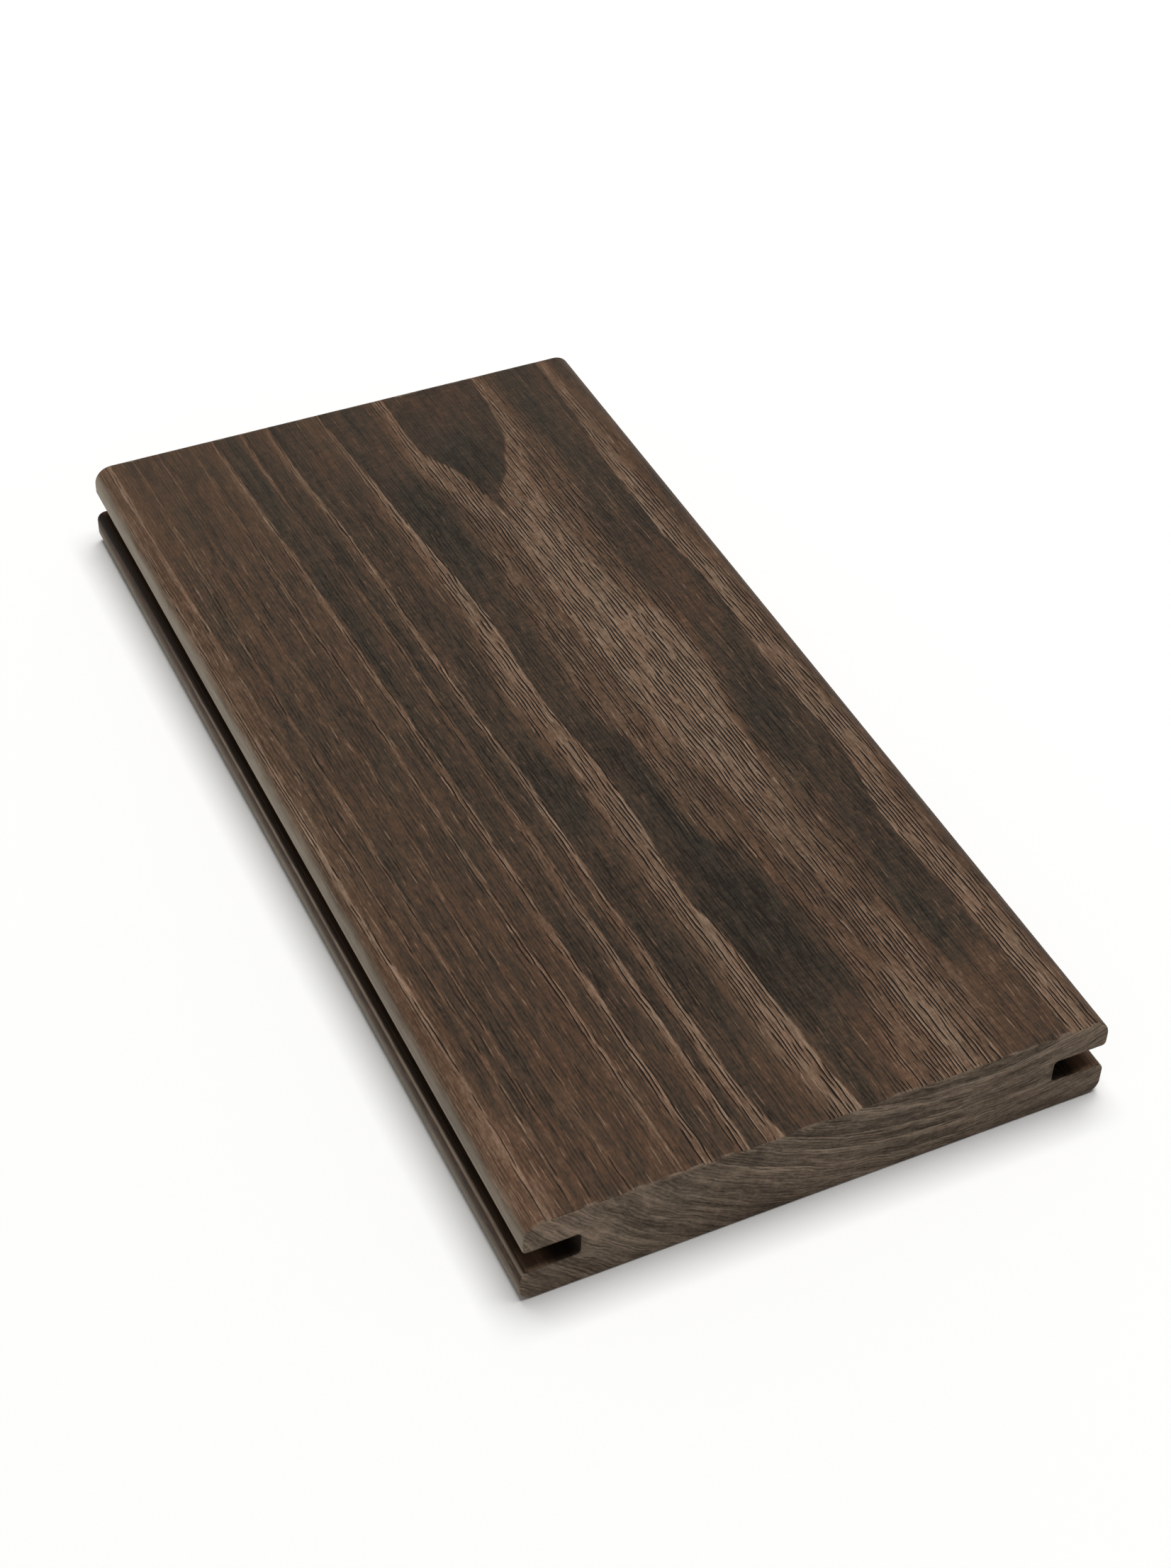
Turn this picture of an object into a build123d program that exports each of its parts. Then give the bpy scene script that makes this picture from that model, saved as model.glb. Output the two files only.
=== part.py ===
"""Ash decking board: one milled length with a clip groove along each long side.

Sizes are in millimetres. The board lies flat: X along the grain, Y across the width, Z up.
The origin is at the middle of the underside.
"""

import os

from build123d import *

# Overall sizes
board_length = 297.0
board_width = 150.0
board_thickness = 25.0

# Clip groove along each long side
lower_lip_height = 9.8
groove_height = 6.4
groove_depth = 14.5
groove_root_radius = 1.0

# The upper lip stands back a little from the lower one
upper_lip_setback = 0.6

# Rounding of the long edges
top_edge_radius = 5.0
upper_lip_corner_radius = 1.2
lower_lip_corner_radius = 2.5
bottom_edge_radius = 3.5

# Wear on the sawn ends
end_arris_radius = 0.5

# Sizes that follow from the ones above
half_width = board_width / 2
upper_half_width = half_width - upper_lip_setback
groove_ceiling = lower_lip_height + groove_height
groove_root = half_width - groove_depth

with BuildPart() as board:
    with BuildSketch(Plane.YZ) as section:
        with BuildLine():
            Polyline(
                (0, 0),
                (half_width, 0),
                (half_width, lower_lip_height),
                (groove_root, lower_lip_height),
                (groove_root, groove_ceiling),
                (upper_half_width, groove_ceiling),
                (upper_half_width, board_thickness),
                (0, board_thickness),
            )
            mirror(about=Plane.YZ)
        make_face()
    extrude(amount=board_length / 2, both=True)

    # The long edges by height: bottom edges, lower lips, upper lips, top edges
    by_height = board.edges().filter_by(Axis.X).group_by(Axis.Z)
    bottom_edges, lower_lip_edges, upper_lip_edges, top_edges = by_height
    lower_inner, lower_outer = lower_lip_edges.group_by(lambda edge: abs(edge.center().Y))
    upper_inner, upper_outer = upper_lip_edges.group_by(lambda edge: abs(edge.center().Y))

    fillet(top_edges, radius=top_edge_radius)
    fillet(bottom_edges, radius=bottom_edge_radius)
    fillet(lower_outer, radius=lower_lip_corner_radius)
    fillet(upper_outer, radius=upper_lip_corner_radius)
    fillet(lower_inner + upper_inner, radius=groove_root_radius)

    # The sawn ends lose their sharp arris all the way round the section
    ends = board.faces().filter_by(Axis.X)
    fillet(ends.edges(), radius=end_arris_radius)

board.part.label = "decking_board"

os.makedirs("parts", exist_ok=True)
export_step(board.part, "parts/decking_board.step")
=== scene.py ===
"""Looks of the ash decking board: a milled, brushed board with a growth-ring texture, and its studio.

Sizes are in millimetres until a mesh, lamp or camera is made; the scene itself is in metres.
The frame is the part's own: X along the grain, Y across the width, Z up, origin under the middle.
"""

import logging
import math
from collections.abc import Callable, Sequence
from dataclasses import asdict, dataclass
from enum import Enum
from functools import reduce
from typing import Union

import bpy
from mathutils import Matrix, Vector


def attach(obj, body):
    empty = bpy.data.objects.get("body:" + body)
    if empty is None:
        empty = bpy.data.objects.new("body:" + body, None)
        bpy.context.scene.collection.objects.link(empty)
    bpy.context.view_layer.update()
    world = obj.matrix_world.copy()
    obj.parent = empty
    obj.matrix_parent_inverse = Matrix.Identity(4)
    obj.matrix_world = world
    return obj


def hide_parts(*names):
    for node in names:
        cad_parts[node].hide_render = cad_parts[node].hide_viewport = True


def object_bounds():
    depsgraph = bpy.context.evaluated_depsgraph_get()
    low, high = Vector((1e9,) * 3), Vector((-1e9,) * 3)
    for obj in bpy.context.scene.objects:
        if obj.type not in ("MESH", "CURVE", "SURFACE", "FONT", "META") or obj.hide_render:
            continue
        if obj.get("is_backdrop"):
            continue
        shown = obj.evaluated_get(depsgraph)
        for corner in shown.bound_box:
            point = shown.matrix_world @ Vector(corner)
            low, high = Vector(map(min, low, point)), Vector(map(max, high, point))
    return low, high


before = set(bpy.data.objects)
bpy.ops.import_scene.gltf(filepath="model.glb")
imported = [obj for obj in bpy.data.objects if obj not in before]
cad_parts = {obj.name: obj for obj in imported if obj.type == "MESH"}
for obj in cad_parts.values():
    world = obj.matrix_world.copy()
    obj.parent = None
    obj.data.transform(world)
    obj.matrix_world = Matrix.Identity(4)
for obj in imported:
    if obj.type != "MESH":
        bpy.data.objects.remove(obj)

LOG = logging.getLogger("decking_board")

MM = 0.001
METRES_TO_MM = (1000.0, 1000.0, 1000.0)
PHOTO_HEIGHT = 2212

Socket = bpy.types.NodeSocket
Value = Union[float, Socket]
Made = dict[str, Socket]
Span = tuple[float, float]
Line = tuple[Span, ...]
Triple = tuple[float, float, float]
Colour = tuple[float, float, float, float]

WHITE: Colour = (1.0, 1.0, 1.0, 1.0)
FLOAT = "NodeSocketFloat"
VECTOR = "NodeSocketVector"
OUTPUT_KINDS = {"VALUE": FLOAT, "VECTOR": VECTOR, "GEOMETRY": "NodeSocketGeometry"}


def paint(red: int, green: int, blue: int) -> Colour:
    """Turns an 8-bit display colour into the linear colour that shaders take.

    Args:
        red: Display red, 0 to 255.
        green: Display green, 0 to 255.
        blue: Display blue, 0 to 255.

    Returns:
        Linear red, green, blue and an alpha of 1.
    """

    def straight(level: int) -> float:
        """Undoes the display curve for one channel."""
        part = level / 255.0
        return part / 12.92 if part <= 0.04045 else ((part + 0.055) / 1.055) ** 2.4

    return (straight(red), straight(green), straight(blue), 1.0)


class Graph:
    """Adds nodes to one tree and links them, in a shader tree or a geometry tree."""

    def __init__(self, tree: bpy.types.NodeTree) -> None:
        """Keeps the tree that the nodes go into."""
        self.tree = tree

    def feed(self, socket: Socket, value: object) -> None:
        """Links a socket to an output, or sets its plain value.

        Args:
            socket: The input to feed.
            value: An output socket, or a value of the input's own kind.
        """
        if isinstance(value, bpy.types.NodeSocket):
            self.tree.links.new(value, socket)
        else:
            socket.default_value = value

    def add(self, kind: str, inputs: dict | None = None, **settings: object) -> bpy.types.Node:
        """Adds one node.

        Args:
            kind: Blender's name of the node type.
            inputs: Values or outputs by the input's name or place.
            settings: Properties of the node itself, set before its inputs.

        Returns:
            The new node.
        """
        node = self.tree.nodes.new(kind)
        for name, value in settings.items():
            setattr(node, name, value)
        for key, value in (inputs or {}).items():
            self.feed(node.inputs[key], value)
        return node

    def out(self, kind: str, inputs: dict | None = None, **settings: object) -> Socket:
        """Adds one node, as add does, and gives its first output."""
        return self.add(kind, inputs, **settings).outputs[0]

    def math(self, operation: str, *values: Value, clamp: bool = False) -> Socket:
        """Adds a Math node and gives its result."""
        return self.out("ShaderNodeMath", dict(enumerate(values)), operation=operation, use_clamp=clamp)

    def minus(self, first: Value, second: Value) -> Socket:
        """Takes the second value from the first."""
        return self.math("SUBTRACT", first, second)

    def plus(self, base: Value, value: Value, share: Value | None = None) -> Socket:
        """Adds a value to a base, or a share of the value.

        Args:
            base: What is added to.
            value: What is added.
            share: How much of the value counts; all of it where none is given.

        Returns:
            The sum.
        """
        if share is None:
            return self.math("ADD", base, value)
        return self.math("MULTIPLY_ADD", value, share, base)

    def times(self, *values: Value) -> Socket:
        """Multiplies the values, from the first to the last."""
        return reduce(lambda first, second: self.math("MULTIPLY", first, second), values)

    def largest(self, *values: Value) -> Socket:
        """Gives the largest of the values."""
        return reduce(lambda first, second: self.math("MAXIMUM", first, second), values)

    def away(self, value: Value, middle: Value | None = None) -> Socket:
        """Gives how far a value lies from a middle, or from zero, to either side."""
        return self.math("ABSOLUTE", value if middle is None else self.minus(value, middle))

    def vector(self, operation: str, *values: object) -> Socket:
        """Adds a Vector Math node and gives its vector result."""
        return self.out("ShaderNodeVectorMath", dict(enumerate(values)), operation=operation)

    def split(self, vector: Socket) -> tuple[Socket, Socket, Socket]:
        """Gives the X, Y and Z of a vector."""
        return tuple(self.add("ShaderNodeSeparateXYZ", {0: vector}).outputs)

    def join(self, x: Value, y: Value, z: Value) -> Socket:
        """Makes a vector of three values."""
        return self.out("ShaderNodeCombineXYZ", {0: x, 1: y, 2: z})

    def ramp(
        self, value: Value, start: Value, end: Value, low: Value = 0.0, high: Value = 1.0, soft: bool = True
    ) -> Socket:
        """Runs a value from one level to another between two places, and holds it outside them.

        Args:
            value: What is looked up.
            start: Where the ramp leaves its first level.
            end: Where the ramp reaches its second level.
            low: The first level.
            high: The second level.
            soft: Ease in and out instead of a straight line.

        Returns:
            The level at the value.
        """
        inputs = {0: value, 1: start, 2: end, 3: low, 4: high}
        return self.out("ShaderNodeMapRange", inputs, interpolation_type="SMOOTHSTEP" if soft else "LINEAR")

    def fall(self, value: Value, start: Value, end: Value) -> Socket:
        """Eases from 1 down to 0 between two places."""
        return self.ramp(value, start, end, 1.0, 0.0)

    def curve(self, value: Socket, line: Line) -> Socket:
        """Looks a value up on a smooth drawn line.

        Args:
            value: What is looked up.
            line: Places along the line and the levels there, in rising order.

        Returns:
            The level at the value.
        """
        places = [place for place, _ in line]
        levels = [level for _, level in line]
        reach = places[-1] - places[0]
        lowest = min(levels)
        span = (max(levels) - lowest) or 1.0
        share = self.ramp(value, places[0], places[-1], soft=False)
        node = self.add("ShaderNodeFloatCurve", {"Value": share})
        points = node.mapping.curves[0].points
        while len(points) < len(line):
            points.new(0.5, 0.5)
        for point, (place, level) in zip(points, line):
            point.location = ((place - places[0]) / reach, (level - lowest) / span)
            point.handle_type = "AUTO_CLAMPED"
        node.mapping.update()
        return self.plus(lowest, node.outputs[0], span)

    def blend(self, share: Value, first: object, second: object) -> Socket:
        """Mixes two colours by a share of the second."""
        return self.add("ShaderNodeMix", {0: share, 6: first, 7: second}, data_type="RGBA").outputs[2]

    def mix(self, share: Value, first: Value, second: Value) -> Socket:
        """Mixes two values by a share of the second."""
        return self.out("ShaderNodeMix", {0: share, 2: first, 3: second}, data_type="FLOAT")

    def choose(self, index: Socket, values: Sequence[Value]) -> Socket:
        """Picks one of several values by a whole number, in a geometry tree.

        Args:
            index: Which value to take, counted from 0.
            values: The values.

        Returns:
            The value picked.
        """
        node = self.add("GeometryNodeIndexSwitch", data_type="FLOAT")
        while len(node.index_switch_items) < len(values):
            node.index_switch_items.new()
        for socket, value in zip(node.inputs, (index, *values)):
            self.feed(socket, value)
        return node.outputs[0]


class Group:
    """A node group under construction, with its named inputs and outputs."""

    def __init__(self, name: str, kind: str, inputs: dict[str, str]) -> None:
        """Opens the group.

        Args:
            name: The group's name.
            kind: Blender's name of the tree type.
            inputs: Socket type of each named input.
        """
        self.tree = bpy.data.node_groups.new(name, kind)
        self.identifiers: dict[str, str] = {}
        for label, socket in inputs.items():
            item = self.tree.interface.new_socket(name=label, in_out="INPUT", socket_type=socket)
            self.identifiers[label] = item.identifier
        self.graph = Graph(self.tree)
        self.source = self.graph.add("NodeGroupInput")

    def get(self, label: str) -> Socket:
        """Gives a named input of the group."""
        return self.source.outputs[label]

    def close(self, made: Made) -> None:
        """Gives the group its outputs.

        Args:
            made: What each named output gives.
        """
        for label, value in made.items():
            self.tree.interface.new_socket(name=label, in_out="OUTPUT", socket_type=OUTPUT_KINDS[value.type])
        self.graph.add("NodeGroupOutput", made)


@dataclass(frozen=True)
class Cloud:
    """Soft noise with its own feature size along X, Y and Z, in millimetres."""

    size: Triple
    seed: float
    detail: float = 1.0
    roughness: float = 0.5
    seed_steps: Triple = (1.0, 1.7, 2.3)

    def wire(self, graph: Graph, place: Socket) -> Socket:
        """Adds the noise to a tree.

        Args:
            graph: The tree.
            place: Where it is read, in millimetres.

        Returns:
            A value about 0.5, mostly between 0.2 and 0.8.
        """
        per_size = tuple(1.0 / part for part in self.size)
        start = tuple(self.seed * step for step in self.seed_steps)
        read_at = graph.vector("MULTIPLY_ADD", place, per_size, start)
        inputs = {"Vector": read_at, "Scale": 1.0, "Detail": self.detail, "Roughness": self.roughness}
        return graph.out("ShaderNodeTexNoise", inputs)

    def swing(self, graph: Graph, place: Socket) -> Socket:
        """Adds the noise to a tree, moved down to swing about zero."""
        return graph.minus(self.wire(graph, place), 0.5)


@dataclass(frozen=True)
class BoardSizes:
    """The milled section and length, in millimetres, as in the part's source."""

    length: float = 297.0
    width: float = 150.0
    thickness: float = 25.0
    lower_lip_height: float = 9.8
    groove_height: float = 6.4
    groove_depth: float = 14.5
    groove_root_radius: float = 1.0
    upper_lip_setback: float = 0.6
    top_edge_radius: float = 5.0
    upper_lip_corner_radius: float = 1.2
    lower_lip_corner_radius: float = 2.5
    bottom_edge_radius: float = 3.5
    end_arris_radius: float = 0.5

    @property
    def groove_ceiling(self) -> float:
        """Height of the groove's ceiling above the underside."""
        return self.lower_lip_height + self.groove_height


@dataclass(frozen=True)
class RingLine:
    """Where one year's pale early wood begins on the walking face, drawn along the board; millimetres."""

    edge: Line
    width: Line
    early: Line
    late: float = 0.0
    late_width: float = 8.0
    outward: float = -1.0
    late_end: float = -0.3
    begins: Span = (-0.35, 0.4)
    fades: Span = (0.3, 1.0)
    core: Span = (0.455, 1.3)

    def wire(self, graph: Graph, x: Socket, across: Socket, fray: Socket) -> tuple[Socket, ...]:
        """Adds the line to a tree.

        Args:
            graph: The tree.
            x: Place along the board.
            across: Place across the board, followed round the rings.
            fray: How far the line is frayed here.

        Returns:
            The early wood past the line, the late wood before it, 1 on its inner side, and its pale core.
        """
        past = graph.plus(fray, graph.minus(across, graph.curve(x, self.edge)), self.outward)
        begun = graph.ramp(past, *self.begins)
        fade = graph.fall(graph.math("DIVIDE", past, graph.curve(x, self.width)), *self.fades)
        strength = graph.curve(x, self.early)
        early = graph.times(begun, fade, strength)
        inside = graph.minus(1.0, begun)
        late = graph.times(graph.ramp(past, -self.late_width, self.late_end, 0.0, self.late), inside)
        core = graph.times(begun, graph.fall(past, *self.core), strength)
        return early, late, inside, core


@dataclass(frozen=True)
class HeartFigure:
    """The pale flame in the middle of the face, round a dark tongue at the far end; millimetres."""

    middle: Line = (
        (-150, 27.7), (-130, 27.4), (-120, 27), (-105, 27.5), (-97, 26.2), (-90, 25.2), (-80, 26), (150, 36),
    )
    opening: Line = (
        (-150, 13.8), (-130, 13.3), (-120, 12.5), (-115, 11), (-110, 8.5), (-105, 6.5), (-100, 4.8),
        (-95, 2.6), (-90, 0.9), (-80, -0.2), (-65, -4), (150, -8),
    )
    bright_left: Line = (
        (-150, 10.6), (-120, 9.8), (-100, 12.4), (-80, 20), (-60, 23.5), (-30, 22), (0, 23.5), (28, 26),
        (42, 29), (60, 31.4), (80, 35), (100, 35.6), (120, 32), (150, 31.8),
    )
    bright_right: Line = (
        (-150, 43.6), (-130, 45), (-115, 43.6), (-100, 39.2), (-80, 37.6), (-50, 38), (-32, 41), (-18, 46.8),
        (-6, 46.8), (10, 44), (30, 42), (60, 40.2), (88, 40.4), (104, 44.6), (118, 42), (150, 39.6),
    )
    dim_left: Line = (
        (-150, 8.5), (-110, 9), (-90, 12.5), (-60, 12.5), (-30, 11.5), (0, 9.8), (22, 15), (45, 14),
        (62, 20), (80, 25), (105, 26), (130, 23), (150, 18),
    )
    dim_right: Line = (
        (-150, 47), (-110, 49.5), (-80, 47.5), (-50, 46), (-20, 48.5), (5, 48), (25, 44.5), (50, 49),
        (80, 47.5), (110, 48), (150, 46),
    )
    strength: Line = (
        (-150, 0.85), (-105, 0.78), (-80, 0.95), (-50, 1), (-10, 1), (30, 1), (60, 0.74), (100, 0.74),
        (125, 0.9), (150, 0.95),
    )
    dim_share: float = 0.52
    bright_fade: float = 2.2
    dim_fade: float = 3.0
    clear_of_tongue: Span = (-0.2, 0.8)

    def wire(self, graph: Graph, x: Socket, across: Socket, fray: Socket) -> Socket:
        """Adds the flame to a tree.

        Args:
            graph: The tree.
            x: Place along the board.
            across: Place across the board, followed round the rings.
            fray: How far its outline is frayed here.

        Returns:
            How much pale early wood there is.
        """
        away = graph.away(across, graph.curve(x, self.middle))
        outside = graph.minus(away, graph.curve(x, self.opening))
        clear = graph.ramp(graph.plus(outside, fray), *self.clear_of_tongue)
        bright = self._between(graph, x, across, self.bright_left, self.bright_right, self.bright_fade)
        dim = self._between(graph, x, across, self.dim_left, self.dim_right, self.dim_fade)
        early = graph.plus(graph.times(dim, self.dim_share), bright, 1.0 - self.dim_share)
        return graph.times(early, graph.curve(x, self.strength), clear)

    @staticmethod
    def _between(graph: Graph, x: Socket, across: Socket, left: Line, right: Line, fade: float) -> Socket:
        """Finds what lies between two drawn lines.

        Args:
            graph: The tree.
            x: Place along the board.
            across: Place across the board.
            left: The line on the left.
            right: The line on the right.
            fade: Half the width over which each side fades out.

        Returns:
            1 between the lines and 0 outside them.
        """
        from_left = graph.minus(across, graph.curve(x, left))
        from_right = graph.minus(graph.curve(x, right), across)
        return graph.times(*(graph.ramp(inward, -fade, fade) for inward in (from_left, from_right)))


@dataclass(frozen=True)
class GrainFigure:
    """The figure of the face, carried down into the board along rings about a pith that lies above it."""

    pith_side: Line = ((-150, 27), (0, 31.5), (150, 36))
    pith_height: float = 114.0
    face_height: float = 25.0
    skin: float = 0.3
    main: RingLine = RingLine(
        edge=(
            (-150, -6.4), (-132, -5.6), (-112, -3.7), (-90, -2.4), (-62, 0.4), (-42, 1.7), (-8, 1), (18, 3.2),
            (34, 3.9), (54, 3.3), (68, 2.3), (86, 4.5), (108, 5.9), (130, 7), (150, 9.2),
        ),
        width=(
            (-150, 3), (-115, 3.6), (-90, 5), (-50, 7), (0, 11), (40, 10.5), (60, 9), (95, 11), (150, 11),
        ),
        early=((-150, 0.42), (-122, 0.5), (-104, 0.8), (-60, 0.9), (20, 0.82), (150, 0.92)),
    )
    right: RingLine = RingLine(
        edge=(
            (-150, 63.2), (-120, 62.7), (-92, 61), (-68, 60.8), (-48, 61.5), (-30, 63), (-6, 61.9),
            (18, 61.8), (34, 63.2), (56, 61.2), (75, 60.2), (95, 61.8), (120, 62.5), (150, 63.5),
        ),
        width=((-150, 6), (-60, 9), (0, 10.5), (70, 11), (150, 11)),
        early=((-150, 0.48), (-105, 0.75), (-50, 0.88), (10, 0.88), (70, 0.92), (150, 1.05)),
        outward=1.0,
    )
    lines: tuple[RingLine, ...] = (
        RingLine(
            edge=(
                (-150, -22.2), (-128, -21.6), (-108, -20.4), (-88, -18.9), (-40, -17.6), (0, -16.5),
                (28, -15.1), (58, -15.5), (88, -14), (118, -14.1), (150, -11),
            ),
            width=((-150, 2.4), (-80, 2.8), (20, 3.2), (80, 4), (150, 5.5)),
            early=(
                (-150, 0.3), (-112, 0.58), (-40, 0.58), (22, 0.72), (70, 0.66), (120, 0.86), (150, 0.9),
            ),
            late=1.0,
            late_width=16.0,
        ),
        RingLine(
            edge=(
                (-150, -30), (-118, -29.3), (-88, -27), (-42, -24.2), (0, -23.3), (40, -22.3), (80, -21.2),
                (150, -19.6),
            ),
            width=((-150, 2), (0, 2.8), (80, 4), (150, 4)),
            early=(
                (-150, 0.3), (-125, 0.45), (-95, 0.15), (-30, 0.34), (30, 0.32), (80, 0.72), (120, 0.85),
                (150, 0.85),
            ),
            late=1.0,
            late_width=6.5,
        ),
        RingLine(
            edge=(
                (-150, -38.6), (-115, -37.4), (-90, -36.3), (-50, -35), (-10, -33.3), (20, -32.1),
                (55, -31.6), (80, -30.6), (120, -29.8), (150, -28.5),
            ),
            width=((-150, 2.5), (0, 3.2), (150, 3.5)),
            early=(
                (-150, 0.3), (-110, 0.48), (-60, 0.42), (10, 0.5), (70, 0.68), (110, 0.8), (150, 0.75),
            ),
            late=0.85,
            late_width=9.0,
        ),
        RingLine(
            edge=(
                (-150, -45.5), (-60, -43), (-30, -41.6), (10, -40.8), (50, -39.5), (72, -39.2), (90, -37.5),
                (125, -36.4), (150, -35.5),
            ),
            width=((-150, 1.6), (60, 2), (90, 3), (150, 2.4)),
            early=((-150, 0.2), (-60, 0.38), (0, 0.42), (60, 0.48), (92, 0.62), (150, 0.42)),
            late=0.3,
            late_width=4.0,
        ),
        RingLine(
            edge=(
                (-150, -55), (-60, -53.6), (-20, -49.6), (15, -49), (60, -50.5), (110, -49.5), (150, -48.5),
            ),
            width=((-150, 1.4), (150, 1.8)),
            early=((-150, 0.28), (-50, 0.22), (0, 0.18), (40, 0.22), (150, 0.3)),
            late=0.3,
            late_width=4.0,
        ),
        RingLine(
            edge=(
                (-150, -62.5), (-40, -61.4), (0, -60.6), (30, -59.5), (60, -58.8), (100, -58.2), (150, -57.6),
            ),
            width=((-150, 1.5), (150, 2)),
            early=((-150, 0.28), (-20, 0.4), (50, 0.42), (150, 0.28)),
            late=0.25,
            late_width=3.0,
        ),
        RingLine(
            edge=(
                (-150, -69.6), (-90, -68.5), (-30, -67), (30, -65.6), (60, -64.4), (90, -62.6), (150, -61),
            ),
            width=((-150, 2), (-60, 2), (0, 1.4), (150, 1.6)),
            early=((-150, 0.42), (-80, 0.42), (0, 0.3), (60, 0.42), (150, 0.35)),
            late=0.25,
            late_width=2.5,
        ),
        RingLine(
            edge=(
                (-150, -73.4), (-60, -72.6), (0, -71.6), (40, -71.2), (62, -70.2), (80, -69.4), (120, -68.4),
                (150, -67.5),
            ),
            width=((-150, 2), (20, 3), (70, 2.2), (150, 2)),
            early=((-150, 0.35), (-40, 0.4), (10, 0.62), (50, 0.7), (90, 0.55), (150, 0.5)),
        ),
    )
    heart: HeartFigure = HeartFigure()
    sway: Cloud = Cloud((38.0, 20.0, 20.0), 3.1)
    sway_reach: float = 0.8
    fray: Cloud = Cloud((6.0, 0.8, 9.0), 7.7, 2.0)
    fray_reach: float = 1.4
    arc_scale: float = 160.0
    calm: Span = (-135.0, -65.0)

    def wire(self, graph: Graph, position: Socket) -> Made:
        """Adds the figure to a tree of either kind.

        Args:
            graph: The tree.
            position: Place on the board, in millimetres.

        Returns:
            Places along the grain and round the pith, early and late wood, pale cores, and the calm far end.
        """
        x, y, z = graph.split(position)
        pith = graph.curve(x, self.pith_side)
        aside = graph.minus(y, pith)
        nearest = self.pith_height - self.face_height
        above = graph.plus(graph.largest(graph.minus(self.face_height - self.skin, z), 0.0), nearest)
        square = graph.plus(graph.times(above, above), aside, aside)
        chord = graph.math("SQRT", graph.largest(graph.minus(square, nearest * nearest), 0.0))
        plain = graph.plus(pith, chord, graph.math("SIGN", aside))
        across = graph.plus(plain, self.sway.swing(graph, position), self.sway_reach)
        arc = graph.times(graph.math("ARCTAN2", aside, above), self.arc_scale)
        along = graph.join(x, across, arc)
        fray = graph.times(self.fray.swing(graph, along), self.fray_reach)
        early, _, inside, core = self.main.wire(graph, x, across, fray)
        other, _, also_inside, _ = self.right.wire(graph, x, across, fray)
        late = graph.times(inside, also_inside)
        early = graph.largest(early, other, self.heart.wire(graph, x, across, fray))
        for line in self.lines:
            pale, dark, _, mark = line.wire(graph, x, across, fray)
            early = graph.largest(early, pale)
            late = graph.largest(late, dark)
            core = graph.largest(core, mark)
        polar = graph.join(arc, graph.math("SQRT", square), x)
        calm = graph.fall(x, *self.calm)
        return {"Along": along, "Polar": polar, "Early": early, "Late": late, "Core": core, "Calm": calm}


@dataclass(frozen=True)
class Stain:
    """One patch of the face that the heat has turned darker or paler, greener or redder; millimetres."""

    x: float
    y: float
    reach_x: float
    reach_y: float
    depth: float
    green: float


@dataclass(frozen=True)
class HeatStains:
    """The patches of the walking face, listed one by one."""

    stains: tuple[Stain, ...] = (
        Stain(-140, 27, 17, 15, 0.0, -0.7),
        Stain(-111, 26, 18, 10, 1.2, 0.8),
        Stain(-82, 6, 34, 7.5, 0.85, 0.7),
        Stain(-20, 8, 50, 5, 0.3, 0.3),
        Stain(45, 12.5, 40, 4, 0.85, 0.6),
        Stain(88, 14, 36, 12, 1.1, 0.3),
        Stain(124, 15, 22, 7, 0.1, 0.0),
        Stain(-105, 54, 52, 6.5, -0.25, 0.5),
        Stain(-40, 54, 36, 7, -0.7, -0.6),
        Stain(12, 54, 24, 7, 0.6, 0.5),
        Stain(40, 45.5, 24, 3.5, 0.8, 0.6),
        Stain(100, 51, 22, 4.5, 0.3, 0.7),
        Stain(26, -10, 20, 6, 1.3, 0.4),
        Stain(-116, -34, 42, 4, 0.5, 0.6),
        Stain(-58, -32, 36, 3.2, 0.5, 0.5),
        Stain(-10, -30.5, 26, 2.6, 0.4, 0.3),
        Stain(-60, -12, 62, 4.5, 0.35, 0.0),
        Stain(136, 24, 20, 10, -0.7, -0.4),
        Stain(134, 55, 24, 16, -1.9, -0.3),
        Stain(136, -68, 26, 8, -1.0, -0.2),
        Stain(100, -45, 75, 40, 0.2, -0.4),
        Stain(15, -19.8, 45, 3, 0.5, 0.0),
        Stain(138, -18, 34, 52, -0.6, 0.0),
    )
    ragged: Cloud = Cloud((16.0, 5.0, 5.0), 13.0, 3.0)
    ragged_reach: float = 1.3
    fades: Span = (0.3, 1.2)

    def wire(self, graph: Graph, position: Socket) -> Made:
        """Adds the patches to a shader tree.

        Args:
            graph: The tree.
            position: Place on the board, in millimetres.

        Returns:
            How dark the patches are and how green, each about -1 to 1.
        """
        x, y, _ = graph.split(position)
        ragged = self.ragged.swing(graph, position)
        depth: Value = 0.0
        green: Value = 0.0
        for stain in self.stains:
            along = graph.plus(-stain.x / stain.reach_x, x, 1.0 / stain.reach_x)
            across = graph.plus(-stain.y / stain.reach_y, y, 1.0 / stain.reach_y)
            away = graph.math("SQRT", graph.plus(graph.times(across, across), along, along))
            patch = graph.fall(graph.plus(away, ragged, self.ragged_reach), *self.fades)
            depth = graph.plus(depth, patch, stain.depth)
            green = graph.plus(green, patch, stain.green)
        return {"Depth": depth, "Green": green}


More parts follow.
